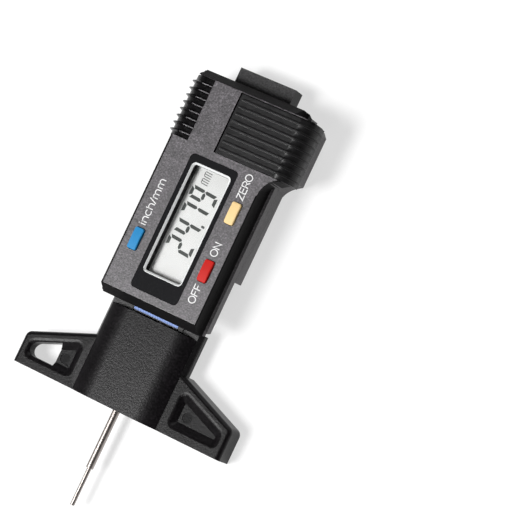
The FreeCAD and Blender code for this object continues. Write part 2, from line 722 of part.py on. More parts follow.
lens = box("window_lens", -(view_left + 0.6), view_right + 0.6, view_low - 0.9, view_high + 0.9,
           face_level - bezel_thick - 0.66, face_level - bezel_thick)
lens.Label = "window_lens"
subparts.append(lens)

# -------------------------------------------------------------- display stack
glass_low = box("glass_low", -5.6, 6.4, 31.1, 62.0, 6.1, 6.9)
glass_top = box("glass_top", -5.1, 6.0, 31.6, 61.5, 6.9, 7.7)
lcd = fuse("lcd_panel", [glass_low, glass_top])
subparts.append(lcd)

frame = new_body("lcd_frame")
subparts.append(frame)
pad(frame, "block", "XY", pcb_level + pcb_thick, 7.7, [rect(-7.2, 8.0, 29.8, 63.4)])
pocket(frame, "glass_seat", "XY", 6.08, 9.0, [rect(-5.75, 6.55, 30.95, 62.15)])
pocket(frame, "window", "XY", 3.0, 7.0, [rect(-3.9, 4.7, 32.0, 61.0)])
pocket(frame, "strip_slots", "XY", 3.0, 7.0, [
    rect(-5.7, -4.1, 32.9, 60.1), rect(4.9, 6.5, 32.9, 60.1)])

strip_a = box("strip_a", -5.6, -4.2, 33.0, 60.0, pcb_level + pcb_thick, 6.1)
strip_b = box("strip_b", 5.0, 6.4, 33.0, 60.0, pcb_level + pcb_thick, 6.1)
strips = fuse("contact_strips", [strip_a, strip_b])
subparts.append(strips)

gasket = new_body("display_gasket")
subparts.append(gasket)
pad(gasket, "ring", "XY", 7.7, ceiling, [rect(-7.0, 7.8, 30.2, 63.2)])
pocket(gasket, "opening", "XY", 7.0, 9.0, [
    round_rect(-view_left, view_right, view_low, view_high, 0.4)])

# -------------------------------------------------------------- circuit board
pcb = new_body("circuit_board")
subparts.append(pcb)
pad(pcb, "sheet", "XY", pcb_level, pcb_level + pcb_thick, [
    rect(-pcb_half, pcb_half, pcb_start, pcb_end)])
pocket(pcb, "post_notches", "XY", pcb_level - 0.5, pcb_level + 2, [
    ("circle", -screw_x, screw_low, 2.0), ("circle", screw_x, screw_low, 2.0)])
pocket(pcb, "holes", "XY", pcb_level - 0.5, pcb_level + 2, [
    ("circle", sx * pcb_screw_x, sy, 0.6) for sx in (-1, 1) for sy in (pcb_screw_low, pcb_screw_high)])

film = box("sensor_film", -7.7, 7.7, pcb_start + 0.6, pcb_end - 0.2, pcb_level - 0.1, pcb_level)
film.Label = "sensor_film"
subparts.append(film)

chip = new_body("driver_chip", x=0.4, y=46.0, z=pcb_level + pcb_thick)
subparts.append(chip)
revolve(chip, "blob", "XZ", [[(0, 0), (3.3, 0), (3.0, 0.55), (2.2, 1.0), (1.1, 1.22), (0, 1.22)]], "V")

domes = fuse("key_domes", [
    cone("dome_unit", unit_x, unit_y, pcb_level + pcb_thick, pcb_level + pcb_thick + 0.5, 1.5, 0.8),
    cone("dome_power", power_x, power_y, pcb_level + pcb_thick, pcb_level + pcb_thick + 0.5, 1.5, 0.8),
    cone("dome_zero", zero_x, zero_y, pcb_level + pcb_thick, pcb_level + pcb_thick + 0.5, 1.5, 0.8),
])
subparts.append(domes)

# -------------------------------------------------------------------- buttons
for label, kx, ky in (("unit_button", unit_x, unit_y), ("power_button", power_x, power_y),
                      ("zero_button", zero_x, zero_y)):
    key = new_body(label, x=kx, y=ky)
    subparts.append(key)
    half = key_long / 2
    sag = key_top - 0.2
    top_arc = (half * half + 0.2**2) / (2 * 0.2)
    pad(key, "cap", "YZ", -key_wide / 2, key_wide / 2, [[
        (-half, 8.0), (half, 8.0), (half, sag, (top_arc, "ccw")), (-half, sag)]])
    dress(key, "Fillet", "cap_corners", 0.5, lambda e: (
        e.BoundBox.ZLength > 2.0 and near(abs(e.CenterOfMass.x), 1.25)
        and near(abs(e.CenterOfMass.y), 2.75)))
    dress(key, "Fillet", "cap_edge", 0.3, lambda e: e.BoundBox.ZMin > 10.3)
    pad(key, "flange", "XY", 7.6, 8.5, [rect(-1.6, 1.6, -3.1, 3.1)])
    pad(key, "stem", "XY", 4.95, 7.8, [rect(-0.8, 0.8, -1.5, 1.5)])

# -------------------------------------------------------------------- battery
cell = new_body("button_cell", x=cell_x, y=cell_y, z=cell_base)
subparts.append(cell)
revolve(cell, "cell", "XZ", [[
    (0, 0), (cell_radius - 0.5, 0), (cell_radius, 0.5, ), (cell_radius, cell_height - 0.9),
    (cell_radius - 0.35, cell_height - 0.55), (cell_radius - 0.9, cell_height - 0.5),
    (cell_radius - 1.1, cell_height - 0.1), (cell_radius - 1.3, cell_height), (0, cell_height),
]], "V")

neg = new_body("negative_contact")
subparts.append(neg)
pad(neg, "leaf", "XY", cell_base - 0.28, cell_base - 0.08, [rect(8.9, 10.1, pcb_end + 0.05, 76.0)])
pos = new_body("positive_contact")
subparts.append(pos)
pad(pos, "wall", "XY", cell_base + 0.35, 8.5, [rect(8.4, 11.9, 66.95, 67.15)])
pad(pos, "tail", "XY", cell_base + 0.35, cell_base + 0.6, [rect(11.5, 11.95, 62.6, 67.15)])

# -------------------------------------------------------------- battery_cover
lid = new_body("battery_cover")
subparts.append(lid)
cz = 9.05 - roll_r


def lid_profile(x_left, inner, outer, inner_low, outer_low):
    return [
        (x_left, cz + inner), (15.2, cz + inner, (inner, "cw")),
        (15.2 + inner, cz), (15.2 + inner, inner_low), (15.2 + outer, outer_low),
        (15.2 + outer, cz, (outer, "ccw")), (15.2, cz + outer), (x_left, cz + outer),
    ]


pad(lid, "skin", "XZ", grip_start - 0.1 + cover_gap, grip_end - 0.2 - cover_gap, [
    lid_profile(-1.2, 3.55, 4.15, 3.6, 3.6)])
lid_fin = pad(lid, "fin", "XZ", fin_first, fin_first + fin_thick, [
    lid_profile(-0.5, 3.8, 4.65, 4.2, 4.2)])
pattern(lid, "fins", lid_fin, "Y_Axis", fin_pitch, 8)
pad(lid, "tongues", "XY", 9.2, 9.42, [
    rect(-1.2, 13.0, grip_start - 0.5, grip_start + 0.4),
    rect(-1.2, 13.0, grip_end - 0.7, grip_end + 0.15)])

# ----------------------------------------------------------------- back_cover
back = new_body("back_cover")
subparts.append(back)
back_rim = rim_level - 0.03
pad(back, "hull", "XZ", back_start, back_end, [[
    (-back_half, -back_depth), (back_half, -back_depth), (flange_half, -1.0),
    (flange_half, back_rim), (-flange_half, back_rim), (-flange_half, -1.0),
]])
pad(back, "thumb_lug", "XY", -1.9, back_rim, [[
    (12.0, 61.4), (flange_half - 0.6, 61.4, (flare_arc, "cw")), (17.2, 65.9),
    (18.3, 66.6), (18.3, 79.4), (17.2, 80.6), (12.0, 80.6)]])
pad(back, "grip_lug", "XY", -1.4, back_rim, [[
    (-12.0, 65.7), (-12.0, 80.2), (-15.0, 80.2), (-15.5, 79.6), (-15.5, 66.3), (-15.0, 65.7)]])
pad(back, "front_tongue", "XY", 1.9, 2.72, [
    rect(-12.7, -(beam_half + channel_gap), ledge_end + 1.6, back_start + 1),
    rect(beam_half + channel_gap, 12.7, ledge_end + 1.6, back_start + 1)])
dress(back, "Chamfer", "back_ends", 0.8, lambda e: (
    near(e.BoundBox.ZMin, -4.0) and near(e.BoundBox.ZMax, -4.0) and e.BoundBox.XLength > 10))
pocket(back, "channel", "XZ", back_start - 1, back_end + 1, [
    rect(-(beam_half + channel_gap), beam_half + channel_gap, -(beam_back + channel_gap), rim_level + 1)])
pocket(back, "board_relief", "XY", 2.65, rim_level + 1, [
    rect(-(head_half - shell_wall), head_half - shell_wall, back_start - 1, cavity_end + 0.2)])
pad(back, "post_pads", "XY", 2.0, back_rim, [
    ("circle", -screw_x, screw_low, 1.7), ("circle", screw_x, screw_low, 1.7)])
pocket(back, "head_clearance", "XY", 1.75, rim_level + 1, [
    ("circle", sx * pcb_screw_x, sy, 1.4) for sx in (-1, 1) for sy in (pcb_screw_low, pcb_screw_high)])
pocket(back, "screw_holes", "XY", -back_depth - 1, rim_level + 1, [
    ("circle", -screw_x, screw_low, 0.85), ("circle", screw_x, screw_low, 0.85),
    ("circle", -screw_x, screw_high, 0.85), ("circle", screw_side_x, screw_side_y, 0.85)])
pocket(back, "counterbores", "XY", -back_depth - 1, -seat_depth, [
    ("circle", -screw_x, screw_low, 1.7), ("circle", screw_x, screw_low, 1.7),
    ("circle", -screw_x, screw_high, 1.7), ("circle", screw_side_x, screw_side_y, 1.7)])
pad(back, "rod_boss", "XY", -(beam_back + channel_gap) - 0.2, 0.45, [
    rect(-(groove_half - 0.15), groove_half - 0.15, boss_start, boss_end)])
pocket(back, "rod_seat", "XZ", boss_start - 0.5, boss_end + 0.5, [("circle", 0, 0, rod_radius)])
pocket(back, "stop_slot", "XY", -(beam_back + 1.3), -beam_back, [
    rect(3.7, 6.3, 58.6, back_end + 1)])
pocket(back, "spring_seat", "XY", -1.7, 1.7, [rect(-9.35, -(beam_half + channel_gap) + 0.2, 51.0, 75.0)])

# ----------------------------------------------------------------- gib_spring
gib = new_body("gib_spring")
subparts.append(gib)
g0, g1, gm = 51.3, 74.7, 63.0
sagit = 1.05
g_in = ((g1 - g0) ** 2 / 4 + sagit**2) / (2 * sagit)
pad(gib, "leaf", "XY", -1.4, 1.4, [[
    (-9.11, g0, (g_in, "ccw")), (-9.11, g1), (-9.31, g1, (g_in + 0.2, "cw")), (-9.31, g0)]])

# --------------------------------------------------------------------- screws
seats = (("low_left", -screw_x, screw_low), ("low_right", screw_x, screw_low),
         ("high_left", -screw_x, screw_high), ("side", screw_side_x, screw_side_y))
solids, slots = [], []
for tag, sx, sy in seats:
    sx, sy = as_q(sx), as_q(sy)
    solids.append(cylinder("cover_head_" + tag, sx, sy, -seat_depth - 1.2, -seat_depth, 1.5))
    solids.append(cylinder("cover_shank_" + tag, sx, sy, -seat_depth - 0.2, -seat_depth + screw_length - 0.8, 0.6))
    solids.append(cone("cover_point_" + tag, sx, sy, -seat_depth + screw_length - 0.8,
                       -seat_depth + screw_length, 0.6, 0.2))
    slots.append(box("cover_slot_a_" + tag, sx - 0.95, sx + 0.95, sy - 0.17, sy + 0.17,
                     -seat_depth - 1.3, -seat_depth - 0.55))
    slots.append(box("cover_slot_b_" + tag, sx - 0.17, sx + 0.17, sy - 0.95, sy + 0.95,
                     -seat_depth - 1.3, -seat_depth - 0.55))
cover_screws = cut("cover_screws", fuse("cover_screw_blanks", solids), fuse("cover_screw_slots", slots))
subparts.append(cover_screws)

solids, slots = [], []
for sx in (-1, 1):
    for sy, tag in ((pcb_screw_low, "low"), (pcb_screw_high, "high")):
        x = pcb_screw_x * sx
        name = "%s_%s" % (tag, "l" if sx < 0 else "r")
        solids.append(cylinder("board_head_" + name, x, sy, pcb_level - 0.75, pcb_level, 1.1))
        solids.append(cylinder("board_shank_" + name, x, sy, pcb_level - 0.1, 6.9, 0.41))
        slots.append(box("board_slot_a_" + name, x - 0.7, x + 0.7, sy - 0.13, sy + 0.13,
                         pcb_level - 0.9, pcb_level - 0.4))
        slots.append(box("board_slot_b_" + name, x - 0.13, x + 0.13, sy - 0.7, sy + 0.7,
                         pcb_level - 0.9, pcb_level - 0.4))
board_screws = cut("board_screws", fuse("board_screw_blanks", solids), fuse("board_screw_slots", slots))
subparts.append(board_screws)

# --------------------------------------------------------------------- output
doc.recompute()
bad = [o.Name for o in doc.Objects if any(s in ("Invalid", "Error") for s in o.State)]
if bad:
    raise RuntimeError("failed features: %s" % bad)
os.makedirs("parts", exist_ok=True)
for o in subparts:
    s = o.Shape
    if s.isNull() or not s.isValid() or not s.Solids:
        raise RuntimeError("%s has no valid solid" % o.Label)
for o in subparts:
    o.Shape.exportStep(os.path.join("parts", o.Label + ".step"))
    b = o.Shape.BoundBox
    print("%-18s solids %d volume %9.2f  x %7.2f %7.2f  y %7.2f %7.2f  z %6.2f %6.2f" % (
        o.Label, len(o.Shape.Solids), o.Shape.Volume, b.XMin, b.XMax, b.YMin, b.YMax, b.ZMin, b.ZMax))
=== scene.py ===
"""Looks of the digital depth gauge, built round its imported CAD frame.  Metres."""
import bpy
import bmesh
import json
import math
from mathutils import Matrix, Vector

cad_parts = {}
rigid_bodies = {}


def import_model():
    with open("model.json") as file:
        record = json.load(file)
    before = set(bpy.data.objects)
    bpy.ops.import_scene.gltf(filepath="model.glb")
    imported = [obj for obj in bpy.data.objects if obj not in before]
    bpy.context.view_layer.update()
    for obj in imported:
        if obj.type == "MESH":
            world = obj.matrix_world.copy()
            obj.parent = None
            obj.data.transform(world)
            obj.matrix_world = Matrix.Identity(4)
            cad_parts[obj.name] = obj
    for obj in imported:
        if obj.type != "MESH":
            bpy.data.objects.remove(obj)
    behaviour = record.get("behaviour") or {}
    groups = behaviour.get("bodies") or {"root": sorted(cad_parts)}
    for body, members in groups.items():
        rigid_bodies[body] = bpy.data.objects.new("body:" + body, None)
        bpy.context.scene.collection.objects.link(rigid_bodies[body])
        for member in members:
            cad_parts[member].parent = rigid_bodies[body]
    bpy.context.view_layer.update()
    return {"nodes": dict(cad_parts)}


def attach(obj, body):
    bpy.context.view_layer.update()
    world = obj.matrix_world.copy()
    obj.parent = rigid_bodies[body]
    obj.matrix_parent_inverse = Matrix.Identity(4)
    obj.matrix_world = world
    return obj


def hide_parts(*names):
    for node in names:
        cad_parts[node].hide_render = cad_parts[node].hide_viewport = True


for o in list(bpy.data.objects):
    bpy.data.objects.remove(o)
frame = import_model()
MM = 0.001
scene = bpy.context.scene
nodes = frame["nodes"]


# ------------------------------------------------------------------ materials
class Mat:
    """A node material: a Principled shader with procedural colour, roughness
    and bump.  Object coordinates are metres in the row frame."""

    def __init__(self, name):
        self.m = bpy.data.materials.new(name)
        self.m.use_nodes = True
        self.nt = self.m.node_tree
        self.nt.nodes.clear()
        self.out = self.nt.nodes.new("ShaderNodeOutputMaterial")
        self.p = self.nt.nodes.new("ShaderNodeBsdfPrincipled")
        self.link(self.p.outputs[0], self.out.inputs["Surface"])
        self.tc = self.nt.nodes.new("ShaderNodeTexCoord")
        self.height = None

    def new(self, kind, **props):
        n = self.nt.nodes.new(kind)
        for k, v in props.items():
            setattr(n, k, v)
        return n

    def link(self, a, b):
        self.nt.links.new(a, b)

    def set(self, **vals):
        for k, v in vals.items():
            self.p.inputs[k.replace("_", " ")].default_value = v
        return self

    def mapping(self, scale=(1, 1, 1), rot=(0, 0, 0), loc=(0, 0, 0)):
        n = self.new("ShaderNodeMapping")
        n.inputs["Scale"].default_value = scale
        n.inputs["Rotation"].default_value = rot
        n.inputs["Location"].default_value = loc
        self.link(self.tc.outputs["Object"], n.inputs["Vector"])
        return n.outputs[0]

    def noise(self, size_mm, detail=2.0, rough=0.5, scale=(1, 1, 1), distort=0.0):
        n = self.new("ShaderNodeTexNoise")
        n.inputs["Scale"].default_value = 1.0 / (size_mm * MM)
        n.inputs["Detail"].default_value = detail
        n.inputs["Roughness"].default_value = rough
        n.inputs["Distortion"].default_value = distort
        self.link(self.mapping(scale), n.inputs["Vector"])
        return n.outputs["Fac"]

    def voronoi(self, size_mm, feature="F1"):
        n = self.new("ShaderNodeTexVoronoi", feature=feature)
        n.inputs["Scale"].default_value = 1.0 / (size_mm * MM)
        self.link(self.mapping(), n.inputs["Vector"])
        return n.outputs["Distance"]

    def remap(self, src, a0, a1, b0, b1):
        n = self.new("ShaderNodeMapRange")
        for i, v in enumerate((a0, a1, b0, b1)):
            n.inputs[i + 1].default_value = v
        self.link(src, n.inputs[0])
        return n.outputs[0]

    def math(self, op, a, b):
        n = self.new("ShaderNodeMath", operation=op)
        for i, v in enumerate((a, b)):
            if isinstance(v, (int, float)):
                n.inputs[i].default_value = v
            else:
                self.link(v, n.inputs[i])
        return n.outputs[0]

    def ramp(self, src, stops):
        n = self.new("ShaderNodeValToRGB")
        e = n.color_ramp.elements
        while len(e) < len(stops):
            e.new(0.5)
        for el, (pos, col) in zip(e, stops):
            el.position = pos
            el.color = (*col, 1.0)
        self.link(src, n.inputs[0])
        return n.outputs[0]

    def mix(self, fac, a, b):
        n = self.new("ShaderNodeMix", data_type="RGBA")
        for sock, v in ((n.inputs[0], fac), (n.inputs[6], a), (n.inputs[7], b)):
            if isinstance(v, (int, float)):
                sock.default_value = v
            elif isinstance(v, (tuple, list)):
                sock.default_value = (*v, 1.0)
            else:
                self.link(v, sock)
        return n.outputs[2]

    def colour(self, sock):
        self.link(sock, self.p.inputs["Base Color"])
        return self

    def roughness(self, sock):
        self.link(sock, self.p.inputs["Roughness"])
        return self

    def bump(self, src, height_mm, strength=1.0):
        n = self.new("ShaderNodeBump")
        n.inputs["Distance"].default_value = height_mm * MM
        n.inputs["Strength"].default_value = strength
        self.link(src, n.inputs["Height"])
        if self.height is not None:
            self.link(self.height, n.inputs["Normal"])
        self.height = n.outputs[0]
        self.link(self.height, self.p.inputs["Normal"])
        return self


def tint(c, k):
    return tuple(min(1.0, v * k) for v in c)


def moulded(name, base, rough, grain_mm=0.30, grain_h=0.020, spread=0.25, spec=0.5, mottle=0.12):
    """Spark-eroded moulded plastic: fine pits, slight mottling, worn sheen."""
    m = Mat(name)
    fine = m.noise(grain_mm, 3.0, 0.65)
    broad = m.noise(2.2, 3.0, 0.55)
    pits = m.voronoi(grain_mm * 1.3)
    c1 = m.ramp(fine, [(0.30, tint(base, 1 - spread)), (0.55, base), (0.78, tint(base, 1 + spread * 1.6))])
    c2 = m.ramp(broad, [(0.35, tint((1, 1, 1), 1 - mottle)), (0.65, (1, 1, 1))])
    mul = m.new("ShaderNodeMix", data_type="RGBA", blend_type="MULTIPLY")
    mul.inputs[0].default_value = 1.0
    m.link(c1, mul.inputs[6])
    m.link(c2, mul.inputs[7])
    m.colour(mul.outputs[2])
    m.roughness(m.remap(m.math("ADD", m.math("MULTIPLY", fine, 0.6), m.math("MULTIPLY", broad, 0.4)),
                        0.3, 0.7, rough - 0.09, rough + 0.09))
    m.bump(pits, grain_h * 0.7)
    m.bump(fine, grain_h)
    m.set(Specular_IOR_Level=spec)
    return m


def eroded(name, base, rough, spec, fine=(0.42, 0.044), mid=(1.10, 0.020), mottle=0.40, rolled_edge_shade_x=None,
           vary=0.09, level=None):
    """Spark-eroded face: fine grain on a soft unevenness, in broad cloudy patches."""
    m = Mat(name)
    n1, n2, n3 = m.noise(fine[0], 2.0, 0.6), m.noise(mid[0], 2.0, 0.55), m.noise(5.0, 3.0, 0.6)
    c1 = m.ramp(n1, [(0.32, tint(base, 0.35)), (0.52, base), (0.72, tint(base, 2.4))])
    c2 = m.ramp(n3, [(0.35, tint((1, 1, 1), 1 - mottle)), (0.65, (1, 1, 1))])
    mul = m.new("ShaderNodeMix", data_type="RGBA", blend_type="MULTIPLY")
    mul.inputs[0].default_value = 1.0
    m.link(c1, mul.inputs[6])
    m.link(c2, mul.inputs[7])
    col = mul.outputs[2]
    gloss = m.remap(m.math("ADD", m.math("MULTIPLY", n3, 0.5), m.math("MULTIPLY", n1, 0.5)),
                    0.3, 0.7, rough - vary, rough + vary)
    if level is not None:
        # tumbled grain: its deepest pits and highest peaks are worn level
        n1 = m.remap(n1, 0.5 - level, 0.5 + level, 0.5 - level, 0.5 + level)
    if rolled_edge_shade_x is not None:
        # the grain stops short of the rolled left edge, which is smooth; that strip is painted near-black, a painted
        # shade for the edge rolling away from the light
        sep = m.new("ShaderNodeSeparateXYZ")
        m.link(m.tc.outputs["Object"], sep.inputs[0])
        inside = m.remap(sep.outputs["X"], rolled_edge_shade_x * MM, (rolled_edge_shade_x + 0.04) * MM, 0, 1)
        col = m.mix(inside, (0.006, 0.0056, 0.006), col)
        gloss = m.math("MULTIPLY", gloss, m.remap(inside, 0, 1, 0.5, 1.0))
        n1, n2 = m.math("MULTIPLY", n1, inside), m.math("MULTIPLY", n2, inside)
    m.colour(col)
    m.roughness(gloss)
    m.bump(n2, mid[1])
    m.bump(n1, fine[1])
    m.set(Specular_IOR_Level=spec)
    return m


def glossy(name, base, rough, ripple=0.002, spread=0.10, **vals):
    """Smooth moulded plastic with a faint ripple and fine scuffs."""
    m = Mat(name)
    broad = m.noise(5.0, 2.0, 0.5)
    fine = m.noise(0.35, 4.0, 0.6)
    m.colour(m.ramp(fine, [(0.3, tint(base, 1 - spread)), (0.7, tint(base, 1 + spread))]))
    m.roughness(m.remap(fine, 0.3, 0.75, rough * 0.8, rough * 1.35))
    m.bump(broad, ripple * 4)
    m.bump(fine, ripple)
    m.set(**vals)
    return m


def steel(name, base, rough, along=(1, 1, 1), h=0.0015, metal=1.0):
    """Drawn or ground metal: streaks along one direction."""
    m = Mat(name)
    streak = m.noise(0.12, 3.0, 0.6, scale=along)
    m.colour(m.ramp(streak, [(0.3, tint(base, 0.9)), (0.7, tint(base, 1.05))]))
    m.roughness(m.remap(streak, 0.3, 0.7, rough * 0.75, rough * 1.3))
    m.bump(streak, h)
    m.set(Metallic=metal)
    return m


M = {}
# the face's own grey, with a painted shade on its rolled left edge below x = -12.94 mm
M["shell"] = eroded("grained_shell", (0.055, 0.0485, 0.055), 0.42, 0.62, rolled_edge_shade_x=-12.94)
# painted shade: the shell's own plastic darkened for the head's walls and edges, which turn away from the light
M["side"] = moulded("shell_sides_painted_shade", (0.0080, 0.0076, 0.0080), 0.40, 0.40, 0.016, 0.40, spec=0.03)
M["skirt"] = moulded("shell_skirt", (0.068, 0.063, 0.067), 0.45, 0.42, 0.035, 0.60, spec=0.40, mottle=0.25)
# painted shade: the shell's plastic darkened to near-black in the ribbed grip scoop
M["grip"] = moulded("grip_painted_shade", (0.0040, 0.0039, 0.0041), 0.24, 0.40, 0.008, 0.30, spec=0.14)
# painted shade: the shell's plastic darkened on the sloped end band of the head
M["slope"] = moulded("end_slope_painted_shade", (0.010, 0.0095, 0.010), 0.50, 0.36, 0.040, 0.50, spec=0.02)
# painted light: the foot's black nylon lightened on the beam's upward faces to stand in for light falling on them
M["beam"] = moulded("beam_top_painted_light", (0.026, 0.025, 0.026), 0.46, 0.40, 0.040, 0.60, spec=0.30, mottle=0.25)
# painted shade: the shell's plastic darkened for the back cover and the battery lid
M["dark"] = moulded("dark_shell", (0.007, 0.0068, 0.0072), 0.35, 0.40, 0.012, 0.30, spec=0.24)
M["nylon"] = eroded("black_nylon", (0.0045, 0.0038, 0.0045), 0.315, 0.170, fine=(0.46, 0.036), mid=(1.20, 0.006), mottle=0.30,
                    vary=0.03, level=0.13)
# painted shade: a duller copy of the black nylon for the floors of the recessed wing pockets
M["pad"] = moulded("nylon_pocket_painted_shade", (0.0045, 0.0043, 0.0047), 0.38, 0.35, 0.022, 0.35, spec=0.12, mottle=0.25)
M["pin"] = moulded("nylon_pin_mark", (0.0040, 0.0039, 0.0042), 0.50, 0.30, 0.045, 0.40, spec=0.10)
M["wing"] = moulded("nylon_wing", (0.0050, 0.0044, 0.0048), 0.35, 0.36, 0.026, 0.80, spec=0.12, mottle=0.40)
M["bezel"] = glossy("gloss_bezel", (0.010, 0.010, 0.011), 0.10)
# painted highlight: a pale grey on the chamfered edge of the window opening, standing in for the light it catches
M["rim"] = glossy("window_edge_painted_highlight", (0.60, 0.61, 0.61), 0.30, spread=0.03)
M["white"] = moulded("white_ink", (0.66, 0.66, 0.66), 0.55, 0.12, 0.004, 0.04)
M["frame_white"] = moulded("pale_plastic", (0.72, 0.72, 0.70), 0.45, 0.4, 0.004, 0.05)
M["blue"] = moulded("blue_button", (0.020, 0.190, 0.410), 0.50, 0.22, 0.008, 0.06, mottle=0.05, spec=0.12)
M["red"] = moulded("red_button", (0.430, 0.012, 0.009), 0.50, 0.22, 0.008, 0.06, mottle=0.05, spec=0.12)
M["yellow"] = moulded("yellow_button", (0.690, 0.505, 0.245), 0.50, 0.22, 0.008, 0.05, mottle=0.05, spec=0.12)
M["foam"] = moulded("black_foam", (0.012, 0.012, 0.012), 0.85, 0.35, 0.06, 0.3)
M["resin"] = glossy("chip_resin", (0.012, 0.012, 0.012), 0.28, ripple=0.01)
M["board"] = glossy("green_board", (0.015, 0.130, 0.050), 0.30, spread=0.25)
M["film"] = glossy("amber_film", (0.42, 0.22, 0.04), 0.18, spread=0.15)
M["rubber"] = Mat("strip_rubber")
band = M["rubber"].new("ShaderNodeTexWave", wave_type="BANDS", bands_direction="Y")
band.inputs["Scale"].default_value = 1600.0
M["rubber"].link(M["rubber"].mapping(), band.inputs["Vector"])
M["rubber"].colour(M["rubber"].ramp(band.outputs["Fac"], [(0.4, (0.55, 0.30, 0.33)), (0.6, (0.05, 0.05, 0.05))]))
M["rubber"].bump(M["rubber"].noise(0.2), 0.01)
M["rubber"].set(Roughness=0.6)
M["chrome"] = steel("polished_steel", (0.36, 0.325, 0.305), 0.33, (0.05, 1.6, 0.05), 0.0010)
M["spring"] = steel("spring_steel", (0.50, 0.50, 0.51), 0.25, (1, 0.06, 1))
M["plated"] = steel("contact_metal", (0.72, 0.66, 0.50), 0.22, (1, 0.1, 1))
M["cell"] = steel("cell_steel", (0.62, 0.62, 0.62), 0.34, (0.3, 0.3, 0.3), 0.0001)
M["screw"] = steel("screw_steel", (0.55, 0.55, 0.57), 0.28, (1, 1, 0.1))

# blue scale strip: solder mask with a fine raised pad pattern underneath
PAINTED_SHADE_EDGE = 23.74
b = M["scale"] = Mat("blue_scale")
bars = b.new("ShaderNodeTexWave", wave_type="BANDS", bands_direction="DIAGONAL")
bars.inputs["Scale"].default_value = 900.0
b.link(b.mapping((1, 0.5, 0)), bars.inputs["Vector"])
blue_bars = b.mix(b.remap(bars.outputs["Fac"], 0.35, 0.65, 0, 1), (0.125, 0.21, 0.49), (0.185, 0.28, 0.59))
sep = b.new("ShaderNodeSeparateXYZ")
b.link(b.tc.outputs["Object"], sep.inputs[0])
# painted shade: the strip turns near-black below the edge line set above, standing in for the shade at its low-Y end
edge = b.remap(sep.outputs["Y"], PAINTED_SHADE_EDGE * MM, (PAINTED_SHADE_EDGE + 0.03) * MM, 0, 1)
b.colour(b.mix(edge, (0.004, 0.004, 0.006), blue_bars))
b.roughness(b.remap(b.noise(0.3, 3.0), 0.3, 0.7, 0.22, 0.38))
b.bump(bars.outputs["Fac"], 0.01)

# reflective display glass with a faint silvery grain
l = M["lcd"] = Mat("display_glass")
g1, g2 = l.noise(0.10, 2.0), l.noise(6.0, 2.0)
l.colour(l.mix(l.remap(g2, 0.3, 0.7, 0, 1), (0.625, 0.630, 0.620), (0.670, 0.675, 0.665)))
l.roughness(l.remap(g1, 0.3, 0.7, 0.28, 0.40))
l.bump(g1, 0.0015)

seg = M["segment"] = Mat("display_segment")
seg.colour(seg.ramp(seg.noise(0.5, 2.0), [(0.3, (0.020, 0.024, 0.022)), (0.7, (0.032, 0.038, 0.034))]))
seg.roughness(seg.remap(seg.noise(0.2), 0.3, 0.7, 0.3, 0.4))
seg2 = M["segment_thin"] = Mat("display_segment_thin")
seg2.colour(seg2.ramp(seg2.noise(0.5, 2.0), [(0.3, (0.060, 0.065, 0.062)), (0.7, (0.085, 0.09, 0.085))]))
seg2.roughness(seg2.remap(seg2.noise(0.2), 0.3, 0.7, 0.3, 0.4))

# clear window: sees straight through, mirrors a little more at a slant
w = M["window"] = Mat("clear_window")
w.nt.nodes.remove(w.p)
clear = w.new("ShaderNodeBsdfTransparent")
clear.inputs[0].default_value = (0.98, 0.98, 0.98, 1)
shine = w.new("ShaderNodeBsdfGlossy")
shine.inputs["Roughness"].default_value = 0.04
facing = w.new("ShaderNodeLayerWeight")
facing.inputs["Blend"].default_value = 0.5
slant = w.math("POWER", facing.outputs["Facing"], 5.0)
mirror = w.math("MULTIPLY_ADD", slant, 0.55)
mirror.node.inputs[2].default_value = 0.03
scuff = w.noise(0.8, 4.0)
bmp = w.new("ShaderNodeBump")
bmp.inputs["Distance"].default_value = 0.0006 * MM
w.link(scuff, bmp.inputs["Height"])
w.link(bmp.outputs[0], shine.inputs["Normal"])
mixed = w.new("ShaderNodeMixShader")
w.link(mirror, mixed.inputs[0])
w.link(clear.outputs[0], mixed.inputs[1])
w.link(shine.outputs[0], mixed.inputs[2])
w.link(mixed.outputs[0], w.out.inputs["Surface"])

NODE_MAT = {
    "foot_beam": "nylon", "scale_board": "scale", "probe_rod": "chrome", "front_shell": "shell",
    "display_bezel": "bezel", "window_lens": "window", "lcd_panel": "lcd", "lcd_frame": "frame_white",
    "contact_strips": "rubber", "display_gasket": "foam", "circuit_board": "board",
    "sensor_film": "film", "driver_chip": "resin", "key_domes": "plated", "unit_button": "blue",
    "power_button": "red", "zero_button": "yellow", "button_cell": "cell",
    "negative_contact": "plated", "positive_contact": "plated", "battery_cover": "dark",
    "back_cover": "dark", "gib_spring": "spring", "cover_screws": "screw", "board_screws": "screw",
}


def dress_node(o, key):
    o.data.materials.clear()
    o.data.materials.append(M[key].m)


for name, o in nodes.items():
    dress_node(o, NODE_MAT[name])


# --------------------------------------------------------------------- pieces
def mesh_object(name, verts, faces, mat, body, smooth=False):
    me = bpy.data.meshes.new(name)
    me.from_pydata([Vector(v) * MM for v in verts], [], faces)
    me.validate()
    bm = bmesh.new()
    bm.from_mesh(me)
    bmesh.ops.recalc_face_normals(bm, faces=bm.faces)
    bm.to_mesh(me)
    bm.free()
    o = bpy.data.objects.new(name, me)
    scene.collection.objects.link(o)
    me.materials.append(M[mat].m)
    if smooth:
        for p in me.polygons:
            p.use_smooth = True
    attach(o, body)
    return o


def prism(loops, z0, z1):
    """Vertices and faces of closed outlines pushed up from z0 to z1."""
    v, f = [], []
    for loop in loops:
        n, k = len(loop), len(v)
        v += [(x, y, z0) for x, y in loop] + [(x, y, z1) for x, y in loop]
        f.append(list(range(k, k + n))[::-1])
        f.append(list(range(k + n, k + 2 * n)))
        f += [[k + i, k + (i + 1) % n, k + n + (i + 1) % n, k + n + i] for i in range(n)]
    return v, f


